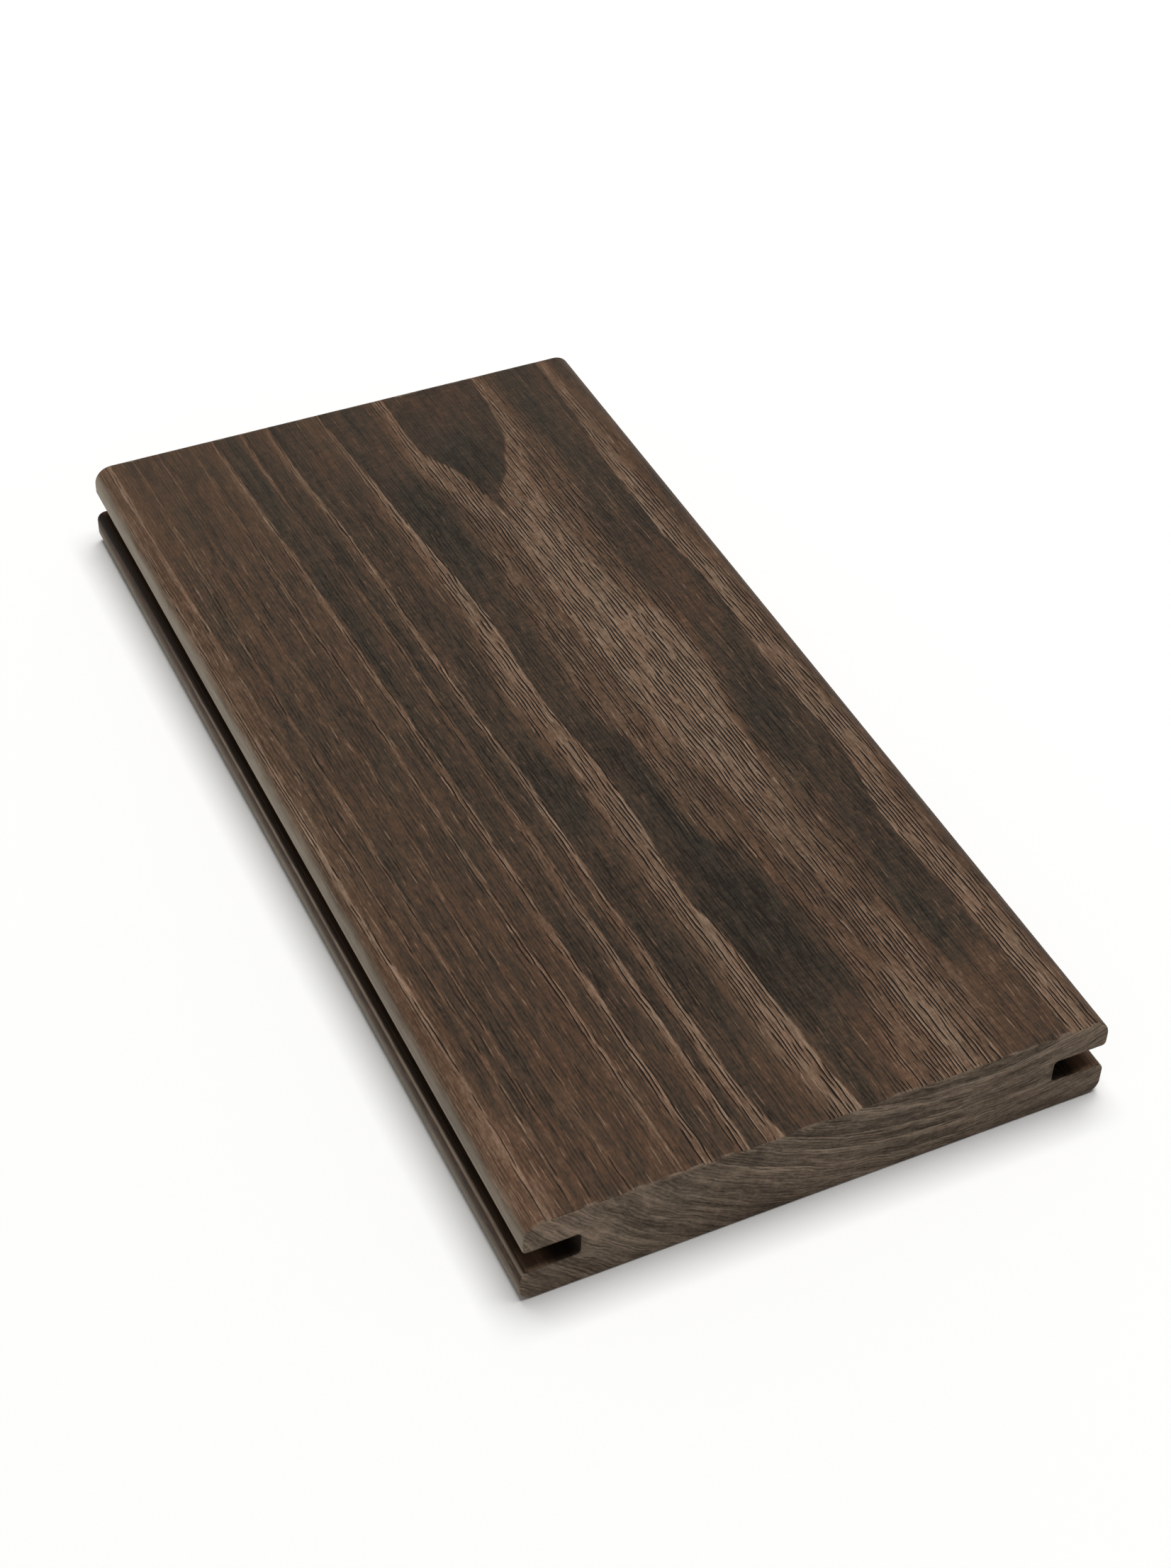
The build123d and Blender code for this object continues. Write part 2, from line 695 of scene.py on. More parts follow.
@dataclass(frozen=True)
class Lanes:
    """Fine lanes ruled along the grain, each with its own run of strokes; millimetres."""

    pitch: float
    stroke: float
    seed: float
    seed_step: float = 0.37
    row_step: float = 3.7
    ring_reach: float = 9.0

    def wire(self, graph: Graph, place: Socket) -> tuple[Socket, Socket]:
        """Adds the lanes to a shader tree.

        Args:
            graph: The tree.
            place: Place along and across the fibres, in millimetres.

        Returns:
            How far to one side of its lane's middle a point lies, -0.5 to 0.5, and its stroke's strength.
        """
        x, across, around = graph.split(place)
        lane = graph.plus(self.seed_step * self.seed, across, 1.0 / self.pitch)
        aside = graph.minus(graph.math("FRACT", lane), 0.5)
        row = graph.times(graph.math("FLOOR", lane), self.row_step)
        strokes = Cloud((self.stroke, 1.0, self.ring_reach), self.seed)
        return aside, strokes.wire(graph, graph.join(x, row, around))


@dataclass(frozen=True)
class OpenGrain:
    """Pore slits with their raised rims and pale raised hairs, both carrying painted highlights, fibres,
    streaks and ray flecks; millimetres.
    """

    bend: Cloud = Cloud((13.0, 3.2, 10.0), 1.3, 3.0)
    bend_reach: float = 1.5
    lean: float = -0.03
    calm_loss: float = -0.5
    pores: Lanes = Lanes(0.95, 10.0, 15.2)
    pore_run: Span = (0.4, 0.56)
    pore_side: Span = (0.1, 0.26)
    rim_inner: Span = (0.18, 0.26)
    rim_outer: Span = (0.3, 0.46)
    hairs: Lanes = Lanes(1.5, 8.0, 45.0)
    hair_run: Span = (0.56, 0.66)
    hair_side: Span = (0.05, 0.13)
    body: Cloud = Cloud((20.0, 2.8, 14.0), 25.2, 3.0, 0.6)
    ragged: Cloud = Cloud((5.0, 0.7, 6.0), 7.1)
    ragged_share: float = 0.9
    speck: Cloud = Cloud((1.7, 0.5, 1.2), 9.4, 2.0, 0.65)
    thread: Cloud = Cloud((7.0, 0.5, 9.0), 29.4, 2.0, 0.6)
    thread_share: float = 0.5
    streak: Cloud = Cloud((34.0, 2.2, 20.0), 8.2, 2.0, 0.55)
    broad: Cloud = Cloud((60.0, 9.0, 30.0), 2.6, 2.0)
    mottle: Cloud = Cloud((4.5, 1.8, 9.0), 18.0, 3.0, 0.65)
    mottle_share: float = 0.55
    hue: Cloud = Cloud((20.0, 6.0, 20.0), 33.0, 2.0)
    ray: Cloud = Cloud((0.8, 5.0, 9.0), 11.0)
    ray_shares: Span = (0.5, 1.0)
    slit_heights: Span = (-0.35, -1.0)
    rim_height: float = 0.5
    fibre_height: float = 0.5

    def wire(self, graph: Graph, grain: Socket, early: Socket, late: Socket, calm: Socket) -> Made:
        """Adds the grain to a shader tree.

        Args:
            graph: The tree.
            grain: Place along, across and round the rings.
            early: How much early wood there is.
            late: How much late wood there is.
            calm: How calm the grain is.

        Returns:
            The pale share, slits, highlighted rims and hairs from 0 to 1; the rest lies about 0.
        """
        open_share = graph.plus(1.0, calm, self.calm_loss)
        bend = graph.times(self.bend.swing(graph, grain), self.bend_reach)
        lean = graph.plus(bend, graph.split(grain)[0], self.lean)
        wavy = graph.vector("ADD", grain, graph.join(0.0, lean, 0.0))

        aside, run = self.pores.wire(graph, wavy)
        broken = graph.times(graph.ramp(run, *self.pore_run), open_share)
        slit = graph.times(graph.fall(graph.away(aside), *self.pore_side), broken)
        # Raised rims beside the slits; their colour share paints them as highlights.
        rim = graph.times(graph.ramp(aside, *self.rim_inner), graph.fall(aside, *self.rim_outer), broken)
        aside, run = self.hairs.wire(graph, wavy)
        few = graph.times(graph.ramp(run, *self.hair_run), open_share)
        hair = graph.times(graph.fall(graph.away(aside), *self.hair_side), few)

        uneven = graph.plus(self.body.swing(graph, wavy), self.ragged.swing(graph, wavy), self.ragged_share)
        pale = graph.math("MULTIPLY", early, graph.plus(uneven, 1.0), clamp=True)
        fine = graph.mix(self.thread_share, self.speck.swing(graph, grain), self.thread.swing(graph, wavy))
        fibre = graph.times(fine, open_share)
        tone = graph.mix(self.mottle_share, self.broad.swing(graph, grain), self.mottle.swing(graph, grain))
        fleck = graph.times(self.ray.swing(graph, grain), graph.mix(late, *self.ray_shares))
        sunk = graph.times(slit, graph.mix(pale, *self.slit_heights))
        raised = graph.plus(sunk, graph.plus(rim, hair), self.rim_height)
        return {
            "Pale": pale,
            "Slit": slit,
            "Rim": rim,
            "Hair": hair,
            "Fibre": fibre,
            "Streak": self.streak.swing(graph, wavy),
            "Tone": tone,
            "Hue": self.hue.swing(graph, grain),
            "Fleck": fleck,
            "Height": graph.plus(raised, fibre, self.fibre_height),
        }


@dataclass(frozen=True)
class WearAndPaintedLight:
    """Arrises rubbed pale by handling, painted highlights on the lips' arrises, painted shade beside the
    grooves, planed lip faces with a painted sheen and a painted lit groove mouth; millimetres.
    """

    sizes: BoardSizes
    end_edge: Cloud = Cloud((3.0, 5.0, 3.0), 21.0, 2.0)
    end_reach: float = 1.6
    end_start: float = -0.1
    end_fade: Span = (-0.25, 0.1)
    end_depth: Span = (1.0, 0.5)
    end_patches: Cloud = Cloud((4.0, 7.0, 3.0), 24.0, 2.0)
    end_rub: tuple[float, ...] = (0.45, 0.65, 0.0, 0.45)
    upper_line_rise: float = 0.55
    upper_line: Span = (0.1, 0.45)
    lower_height: Line = ((-150, 7.6), (-110, 8.2), (-40, 8.6), (60, 8.75), (150, 9))
    lower_line: Span = (0.1, 0.5)
    lower_run: Span = (-110.0, -40.0)
    lip_reach: Span = (2.2, 1.6)
    lip_patches: Cloud = Cloud((9.0, 2.0, 2.0), 4.4, 2.0)
    lip_rub: tuple[float, ...] = (0.25, 0.55, 0.5, 1.0)
    grime_over: Span = (0.15, 0.8)
    grime_under: Span = (0.5, 0.8)
    grime_reach: float = 2.0
    planed_edge: Cloud = Cloud((14.0, 3.0, 3.0), 6.6, 2.0)
    planed_wave: float = 3.0
    planed_height: float = 21.3
    planed_fade: Span = (-2.2, 1.0)
    planed_upper: tuple[float, ...] = (-120.0, 120.0, 1.12, 0.72)
    planed_lower: tuple[float, ...] = (3.0, 7.2, 0.85, 0.0)
    planed_change: Span = (10.0, 13.0)
    planed_reach: Span = (2.6, 1.4)
    mouth: Span = (10.0, 5.0)
    near_mouth: Span = (5.0, 10.0)
    near_end: Span = (136.0, 146.0)
    strip: Span = (2.6, 4.5)
    strip_share: float = 0.5
    shoulder: Span = (3.0, 11.0)
    shoulder_height: Span = (20.0, 23.0)

    def wire(self, graph: Graph, position: Socket) -> Made:
        """Adds the wear and the painted light and shade to a shader tree.

        Args:
            graph: The tree.
            position: Place on the board, in millimetres.

        Returns:
            The rubbed arrises with painted lip highlights, painted shade, planed faces with painted sheen,
            the groove's painted lit mouth, and the left shoulder.
        """
        sizes = self.sizes
        half, ceiling = sizes.width / 2, sizes.groove_ceiling
        x, y, z = graph.split(position)
        inward = graph.minus(half, graph.away(y))
        from_left = graph.plus(y, half)

        from_end = graph.minus(sizes.length / 2, graph.away(x))
        worn_end = graph.plus(self.end_start, self.end_edge.wire(graph, position), self.end_reach)
        end_top = graph.ramp(graph.minus(sizes.thickness, z), *self.end_depth)
        rare = graph.ramp(self.end_patches.wire(graph, position), *self.end_rub)
        ends = graph.times(graph.fall(graph.minus(from_end, worn_end), *self.end_fade), end_top, rare)
        # Pale lines along the lips' arrises: partly rubbed wear, partly painted highlight.
        upper_height = ceiling + sizes.upper_lip_corner_radius + self.upper_line_rise
        upper = graph.fall(graph.away(z, upper_height), *self.upper_line)
        over_lip = graph.minus(z, graph.curve(x, self.lower_height))
        lower = graph.fall(graph.away(over_lip), *self.lower_line)
        lower = graph.times(lower, graph.ramp(x, *self.lower_run))
        rubbed = graph.ramp(self.lip_patches.wire(graph, position), *self.lip_rub)
        lips = graph.times(graph.largest(upper, lower), graph.ramp(inward, *self.lip_reach), rubbed)

        # Painted shade: darkens the lower lip's top and the upper lip's underside where the upper lip shades
        # the groove.
        under = graph.fall(graph.minus(z, ceiling), *self.grime_under)
        beside = graph.fall(inward, sizes.groove_depth, sizes.groove_depth + self.grime_reach)
        grime = graph.times(graph.ramp(over_lip, *self.grime_over), under, beside)

        # Planed lip faces: planed wood plus a painted sheen of the pale floor; the lower lip is painted
        # lighter towards its bottom.
        crest = graph.plus(self.planed_height, self.planed_edge.wire(graph, position), self.planed_wave)
        face = graph.fall(graph.minus(z, crest), *self.planed_fade)
        lower_share, upper_share = graph.ramp(z, *self.planed_lower), graph.ramp(x, *self.planed_upper)
        share = graph.mix(graph.ramp(z, *self.planed_change), lower_share, upper_share)
        planed = graph.times(face, share, graph.ramp(inward, *self.planed_reach))

        # Painted light in the groove: lighter at the right groove's mouth, at the left groove's near end and
        # along the left groove's outer strip.
        mouth = graph.ramp(graph.minus(half, y), *self.mouth)
        near_mouth = graph.times(graph.fall(from_left, *self.near_mouth), graph.ramp(x, *self.near_end))
        strip = graph.ramp(from_left, *self.strip, self.strip_share, 0.0)
        shoulder = graph.times(graph.fall(from_left, *self.shoulder), graph.ramp(z, *self.shoulder_height))
        return {
            "Wear": graph.largest(ends, lips),
            "Grime": grime,
            "Planed": planed,
            "Rubbed": graph.largest(mouth, near_mouth, strip),
            "Shoulder": shoulder,
        }


class WoodGroups:
    """The shader groups that all cuts of the board share: figure, open grain, stains, and worn arrises with
    painted light and shade.
    """

    def __init__(self, sizes: BoardSizes, figure: GrainFigure) -> None:
        """Builds the groups.

        Args:
            sizes: The board's sizes.
            figure: The board's growth.
        """
        place = {"Position": VECTOR}
        self.figure = self._group("grain_figure", place, figure.wire)
        growth = {"Grain": VECTOR, "Early": FLOAT, "Late": FLOAT, "Calm": FLOAT}
        self.grain = self._group("open_grain", growth, OpenGrain().wire)
        self.stains = self._group("heat_stains", place, HeatStains().wire)
        self.wear = self._group("wear_and_painted_light", place, WearAndPaintedLight(sizes).wire)

    @staticmethod
    def _group(name: str, inputs: dict[str, str], wire: Callable[..., Made]) -> bpy.types.NodeTree:
        """Puts one effect into a group.

        Args:
            name: The group's name.
            inputs: Socket type of each named input, in the order in which the effect takes them.
            wire: Adds the effect to a tree and gives its named results.

        Returns:
            The group's tree.
        """
        group = Group(name, "ShaderNodeTree", inputs)
        group.close(wire(group.graph, *(group.get(label) for label in inputs)))
        return group.tree


class Cut(Enum):
    """How a surface of the board lies to the grain; GROOVE is the long grain again, painted darker as the
    groove's shade.
    """

    FACE = "ash_face"
    END = "ash_end"
    GROOVE = "ash_groove_painted_shade"

    @property
    def label(self) -> str:
        """The cut's input in the board's tree, such as Face wood."""
        return f"{self.name.capitalize()} wood"


@dataclass(frozen=True)
class Palette:
    """The wood's colours from its darkest pores to its rubbed ridges, by display level."""

    stops: tuple[tuple[float, Colour], ...]

    def wire(self, graph: Graph, level: Socket) -> Socket:
        """Looks a level up among the colours.

        Args:
            graph: The material's tree.
            level: Display level of the red channel, 0 to 1.

        Returns:
            The colour.
        """
        node = graph.add("ShaderNodeValToRGB", {0: level})
        elements = node.color_ramp.elements
        while len(elements) < len(self.stops):
            elements.new(0.5)
        for element, (place, colour) in zip(elements, self.stops):
            element.position = place
            element.color = colour
        return node.outputs[0]


LONG_GRAIN = Palette(
    (
        (0.11, paint(28, 21, 15)),
        (0.21, paint(53, 45, 37)),
        (0.31, paint(79, 60, 46)),
        (0.38, paint(97, 76, 60)),
        (0.55, paint(140, 118, 99)),
    )
)
END_GRAIN = Palette(
    (
        (0.11, paint(28, 23, 18)),
        (0.21, paint(54, 46, 38)),
        (0.31, paint(79, 68, 57)),
        (0.38, paint(97, 84, 71)),
        (0.55, paint(140, 122, 105)),
    )
)


@dataclass(frozen=True)
class WoodFinish:
    """One cut of the heat-darkened ash: display levels of its wood, and how strongly its grain shows."""

    cut: Cut
    palette: Palette
    ground: float
    dark: float
    light: float
    tone: float
    streak: float
    fibre: float
    slit: float
    pale_slit: float
    rim: float
    pale_rim: float
    hair: float
    line: float
    hue: float
    relief: float
    roughness: float
    specular: float
    # Colour of worn arrises; on the lips it also paints their highlights.
    worn: Colour
    fleck: float = 0.0
    stain: float = 0.0
    green: float = 0.0
    fall: float = 0.0
    rubbed: float = 0.0
    shoulder: float = 0.0
    # Planed lip faces: the planed wood's colour plus a painted sheen.
    planed: Colour = paint(152, 141, 125)
    planed_share: float = 0.0
    # Painted shade: the dark coat inside the groove's recess.
    grime: Colour = paint(30, 23, 17)
    grime_share: float = 0.0
    worn_share: float = 0.85
    fall_heights: Span = (3.0, 21.0)
    blue_share: float = 0.3
    planed_streak: float = 0.9
    planed_fibre: float = 0.5
    knead: Cloud = Cloud((12.0, 12.0, 8.0), 41.0, 2.0)
    knead_reach: float = 2.4

    def material(self, groups: WoodGroups) -> bpy.types.Material:
        """Makes the material of this cut.

        Args:
            groups: The shared shader groups.

        Returns:
            The material.
        """
        material = bpy.data.materials.new(self.cut.value)
        material.use_nodes = True
        material.node_tree.nodes.clear()
        graph = Graph(material.node_tree)
        place = graph.add("ShaderNodeTexCoord").outputs["Object"]
        position = graph.vector("MULTIPLY", place, METRES_TO_MM)
        figure = self._use(graph, groups.figure, {"Position": position})
        way = figure["Along"]
        if self.cut is Cut.END:
            knead = graph.times(self.knead.swing(graph, position), self.knead_reach)
            way = graph.vector("ADD", figure["Polar"], graph.join(0.0, knead, 0.0))
        growth = {label: figure[label] for label in ("Early", "Late", "Calm")}
        grain = self._use(graph, groups.grain, {"Grain": way} | growth)
        stain = self._use(graph, groups.stains, {"Position": position})
        wear = self._use(graph, groups.wear, {"Position": position})

        level = graph.mix(figure["Late"], self.ground, self.dark)
        level = graph.plus(level, stain["Depth"], -self.stain)
        level = graph.plus(level, grain["Tone"], self.tone)
        level = graph.mix(grain["Pale"], level, self.light)
        height = graph.ramp(graph.split(position)[2], *self.fall_heights, -1.0, 1.0, soft=False)
        for mask, share in (
            (grain["Slit"], graph.mix(grain["Pale"], -self.slit, -self.pale_slit)),
            # Rims and hairs are painted paler as highlights.
            (grain["Rim"], graph.mix(grain["Pale"], self.rim, self.pale_rim)),
            (grain["Hair"], self.hair),
            (figure["Core"], self.line),
            (grain["Fibre"], self.fibre),
            (grain["Streak"], self.streak),
            (grain["Fleck"], self.fleck),
            (height, self.fall),
            # The lit mouth adds painted light in the groove.
            (wear["Rubbed"], self.rubbed),
            (wear["Shoulder"], self.shoulder),
        ):
            level = graph.plus(level, mask, share)
        hue = graph.plus(graph.times(grain["Hue"], self.hue), stain["Green"], self.green)
        tint = graph.join(graph.minus(1.0, hue), 1.0, graph.plus(1.0, hue, self.blue_share))
        colour = graph.vector("MULTIPLY", self.palette.wire(graph, level), tint)
        drawn = graph.plus(1.0, grain["Fibre"], self.planed_fibre)
        drawn = graph.plus(drawn, grain["Streak"], self.planed_streak)
        planed = graph.vector("MULTIPLY", self.planed[:3], graph.join(drawn, drawn, drawn))
        # Coats: planed lip faces with a painted sheen, worn arrises with painted lip highlights, and painted
        # shade in the groove's recess.
        for mask, share, coat in (
            (wear["Planed"], self.planed_share, planed),
            (wear["Wear"], self.worn_share, self.worn),
            (wear["Grime"], self.grime_share, self.grime),
        ):
            colour = graph.blend(graph.times(mask, share), colour, coat)
        relief = {"Strength": 1.0, "Distance": self.relief * MM, "Height": grain["Height"]}
        shader = graph.out(
            "ShaderNodeBsdfPrincipled",
            {
                "Base Color": colour,
                "Roughness": self.roughness,
                "Specular IOR Level": self.specular,
                "Normal": graph.out("ShaderNodeBump", relief),
            },
        )
        graph.add("ShaderNodeOutputMaterial", {"Surface": shader})
        return material

    @staticmethod
    def _use(graph: Graph, tree: bpy.types.NodeTree, inputs: Made) -> bpy.types.NodeOutputs:
        """Places a shared group in the material, feeds its named inputs and gives its outputs."""
        return graph.add("ShaderNodeGroup", inputs, node_tree=tree).outputs


FINISHES = (
    WoodFinish(
        cut=Cut.FACE,
        palette=LONG_GRAIN,
        ground=0.271,
        dark=0.229,
        light=0.428,
        tone=0.26,
        streak=0.16,
        fibre=0.42,
        slit=0.06,
        pale_slit=0.52,
        rim=0.03,
        pale_rim=0.25,
        hair=0.16,
        line=0.06,
        hue=0.22,
        relief=0.16,
        roughness=0.5,
        specular=0.045,
        worn=paint(150, 134, 118),
        fleck=0.1,
        stain=0.042,
        green=0.1,
        shoulder=0.085,
        planed_share=0.85,
        grime_share=0.95,
    ),
    WoodFinish(
        # End wood: its own colour set paler than the face, painted lighter to stand in for the light on the
        # upright ends; darker towards the bottom and lighter towards the top; painted shade in the groove's
        # recess.
        cut=Cut.END,
        palette=END_GRAIN,
        ground=0.395,
        dark=0.334,
        light=0.452,
        tone=0.34,
        streak=0.4,
        fibre=0.5,
        slit=0.07,
        pale_slit=0.13,
        rim=0.02,
        pale_rim=0.06,
        hair=0.02,
        line=0.04,
        hue=0.1,
        relief=0.1,
        roughness=0.7,
        specular=0.06,
        worn=paint(124, 108, 94),
        fleck=0.06,
        fall=0.006,
        grime=paint(24, 18, 13),
        grime_share=0.3,
    ),
    # Groove wood: the long grain painted much darker as the groove's painted shade, with painted light
    # towards the mouth.
    WoodFinish(
        cut=Cut.GROOVE,
        palette=LONG_GRAIN,
        ground=0.17,
        dark=0.17,
        light=0.2,
        tone=0.1,
        streak=0.16,
        fibre=0.16,
        slit=0.02,
        pale_slit=0.03,
        rim=0.01,
        pale_rim=0.02,
        hair=0.03,
        line=0.02,
        hue=0.1,
        relief=0.1,
        roughness=0.75,
        specular=0.015,
        worn=paint(96, 82, 70),
        rubbed=0.24,
    ),
)


@dataclass
class DeckingBoard:
    """The board itself: its section swept along the grain, with eased ends and brushed relief."""

    sizes: BoardSizes
    figure: GrainFigure
    groups: WoodGroups
    top_step: float = 0.6
    side_step: float = 1.0
    bottom_step: float = 4.0
    rows: int = 190
    arris_rows: int = 4
    row_crowding: float = 0.7
    side_corners: int = 6
    fillet_steps: int = 8
    level_margin: float = 0.01
    brushed_depth: float = 0.07
    ripple: Cloud = Cloud((30.0, 2.0, 12.0), 6.0)
    ripple_share: float = 0.3
    groove_margin: float = 0.15
    flat_end_slope: float = 0.99
    sawn_slope: float = 0.6
    name: str = "decking_board_wood"

    def build(self) -> bpy.types.Object:
        """Makes the finished board as one plain mesh.

        Returns:
            The board's object, with its three cuts as materials.
        """
        materials = {finish.cut.label: finish.material(self.groups) for finish in FINISHES}
        group = self._tree()
        carrier = bpy.data.objects.new("board_rule", bpy.data.meshes.new("board_rule"))
        bpy.context.scene.collection.objects.link(carrier)
        modifier = carrier.modifiers.new("board_rule", "NODES")
        modifier.node_group = group.tree
        for label, value in (self._lengths() | {"Rows": self.rows} | materials).items():
            modifier[group.identifiers[label]] = value
        graph = bpy.context.evaluated_depsgraph_get()
        made = carrier.evaluated_get(graph)
        mesh = bpy.data.meshes.new_from_object(made, preserve_all_data_layers=True, depsgraph=graph)
        carrier.modifiers.remove(modifier)
        bpy.data.objects.remove(carrier)
        mesh.name = self.name
        board = bpy.data.objects.new(self.name, mesh)
        bpy.context.scene.collection.objects.link(board)
        return board

    def _lengths(self) -> dict[str, float]:
        """Gives the tree's named lengths.

        Returns:
            Each length in metres, by its input's name, such as Groove depth.
        """
        steps = ("brushed_depth", "top_step", "side_step", "bottom_step")
        lengths = asdict(self.sizes) | {name: getattr(self, name) for name in steps}
        return {name.replace("_", " ").capitalize(): value * MM for name, value in lengths.items()}

    def _tree(self) -> Group:
        """Builds the board's rule: corners, rounding, sweep, ends, relief and materials.

        Returns:
            The geometry group.
        """
        woods = dict.fromkeys((cut.label for cut in Cut), "NodeSocketMaterial")
        inputs = dict.fromkeys(self._lengths(), FLOAT) | {"Rows": "NodeSocketInt"} | woods
        group = Group("milled_board", "GeometryNodeTree", inputs)
        sweep = {"Curve": self._path(group), "Profile Curve": self._section(group), "Fill Caps": True}
        eased = self._ease_ends(group, group.graph.out("GeometryNodeCurveToMesh", sweep))
        whole = group.graph.out("GeometryNodeRealizeInstances", {0: self._brush(group, eased)})
        group.close({"Board": self._dress(group, whole)})
        return group

    def _section(self, group: Group) -> Socket:
        """Draws the rounded section as a closed line with its outward direction.

        Args:
            group: The board's geometry group.

        Returns:
            The section, X for the width and Y for the height.
        """
        graph, get = group.graph, group.get
        half = graph.times(get("Width"), 0.5)
        upper = graph.minus(half, get("Upper lip setback"))
        root = graph.minus(half, get("Groove depth"))
        floor = get("Lower lip height")
        ceiling = graph.plus(floor, get("Groove height"))
        index = graph.out("GeometryNodeInputIndex")
        right = graph.math("LESS_THAN", index, self.side_corners - 0.5)
        corner = graph.math("MINIMUM", index, graph.minus(2.0 * self.side_corners - 1.0, index))
        side = graph.plus(-1.0, right, 2.0)
        out = graph.choose(corner, [half, half, root, root, upper, upper])
        height = graph.choose(corner, [0.0, floor, floor, ceiling, ceiling, get("Thickness")])
        roundings = (
            "Bottom edge", "Lower lip corner", "Groove root", "Groove root", "Upper lip corner", "Top edge",
        )
        radius = graph.choose(corner, [get(f"{place} radius") for place in roundings])
        corners = graph.out("GeometryNodeMeshLine", {"Count": 2 * self.side_corners})
        spot = graph.join(graph.times(out, side), height, 0.0)
        placed = graph.out("GeometryNodeSetPosition", {"Geometry": corners, "Position": spot})
        line = graph.out("GeometryNodeMeshToCurve", {0: placed})
        closed = graph.out("GeometryNodeSetSplineCyclic", {"Geometry": line, "Cyclic": True})
        fillet = {"Curve": closed, "Count": self.fillet_steps, "Radius": radius}
        rounded = graph.out("GeometryNodeFilletCurve", fillet, mode="POLY")

        vectors = {"data_type": "FLOAT_VECTOR", "domain": "POINT"}
        here = graph.out("GeometryNodeInputPosition")
        own = graph.out("GeometryNodeInputIndex")
        following = graph.add("GeometryNodeOffsetPointInCurve", {"Point Index": own, "Offset": 1}).outputs[1]
        there = graph.out("GeometryNodeFieldAtIndex", {"Value": here, "Index": following}, **vectors)
        run = graph.add("ShaderNodeVectorMath", {0: here, 1: there}, operation="DISTANCE").outputs["Value"]
        middle = graph.times(graph.split(graph.vector("ADD", here, there))[1], 0.5)
        margin = self.level_margin * MM
        on_top = graph.math("GREATER_THAN", middle, graph.minus(get("Thickness"), margin))
        below = graph.math("LESS_THAN", middle, margin)
        step = graph.mix(below, graph.mix(on_top, get("Side step"), get("Top step")), get("Bottom step"))
        cuts = graph.math("FLOOR", graph.math("DIVIDE", run, step))
        fine = graph.out("GeometryNodeSubdivideCurve", {"Curve": rounded, "Cuts": cuts})
        along, up, _ = graph.split(graph.out("GeometryNodeInputTangent"))
        outward = graph.join(0.0, up, graph.times(along, -1.0))
        kept = {"Geometry": fine, "Name": "outward", "Value": outward}
        return graph.out("GeometryNodeStoreNamedAttribute", kept, **vectors)

    def _path(self, group: Group) -> Socket:
        """Lays the rows of the sweep, a few on each end's arris and closer together near the ends.

        Args:
            group: The board's geometry group.

        Returns:
            The path along X.
        """
        graph, get = group.graph, group.get
        half = graph.times(get("Length"), 0.5)
        radius = get("End arris radius")
        ends = {"Start": (-1.0, 0.0, 0.0), "End": (1.0, 0.0, 0.0)}
        line = graph.out("GeometryNodeCurvePrimitiveLine", ends)
        count = graph.plus(get("Rows"), 1.0)
        rows = graph.out("GeometryNodeResampleCurve", {"Curve": line, "Count": count}, mode="COUNT")
        half_rows = graph.times(get("Rows"), 0.5)
        from_middle = graph.minus(graph.out("GeometryNodeInputIndex"), half_rows)
        away = graph.away(from_middle)
        to_end = graph.minus(half_rows, away)
        turn = graph.math("COSINE", graph.times(to_end, math.pi / 2 / self.arris_rows))
        on_arris = graph.minus(half, graph.times(radius, graph.minus(1.0, turn)))
        share = graph.math("DIVIDE", away, graph.minus(half_rows, self.arris_rows))
        crowding = 0.5 * self.row_crowding
        eased = graph.times(graph.math("POWER", share, 3.0), -crowding)
        on_face = graph.times(graph.plus(eased, share, 1.0 + crowding), graph.minus(half, radius))
        is_arris = graph.math("LESS_THAN", to_end, self.arris_rows - 0.5)
        place = graph.times(graph.math("SIGN", from_middle), graph.mix(is_arris, on_face, on_arris))
        spot = graph.join(place, 0.0, 0.0)
        laid = graph.out("GeometryNodeSetPosition", {"Geometry": rows, "Position": spot})
        level = {"Curve": laid, "Normal": (0.0, 1.0, 0.0)}
        return graph.out("GeometryNodeSetCurveNormal", level, mode="FREE")

    @staticmethod
    def _push(graph: Graph, mesh: Socket, x: Value, yz: Socket) -> Socket:
        """Moves a mesh along the section's outward direction, kept from before the sweep.

        Args:
            graph: The tree.
            mesh: The mesh.
            x: How far its points move along the board.
            yz: How far they move across and up.

        Returns:
            The moved mesh.
        """
        kept = graph.out("GeometryNodeInputNamedAttribute", {"Name": "outward"}, data_type="FLOAT_VECTOR")
        offset = graph.vector("MULTIPLY", kept, graph.join(x, yz, yz))
        return graph.out("GeometryNodeSetPosition", {"Geometry": mesh, "Offset": offset})

    def _ease_ends(self, group: Group, mesh: Socket) -> Socket:
        """Draws the last rows in, so that the arris of each sawn end is round.

        Args:
            group: The board's geometry group.
            mesh: The swept board.

        Returns:
            The board with eased ends.
        """
        graph, get = group.graph, group.get
        radius = get("End arris radius")
        x, _, _ = graph.split(graph.out("GeometryNodeInputPosition"))
        start = graph.minus(graph.times(get("Length"), 0.5), radius)
        past = graph.largest(graph.minus(graph.away(x), start), 0.0)
        level = graph.minus(graph.times(radius, radius), graph.times(past, past))
        inset = graph.minus(radius, graph.math("SQRT", graph.largest(level, 0.0)))
        return self._push(graph, mesh, 0.0, graph.times(inset, -1.0))

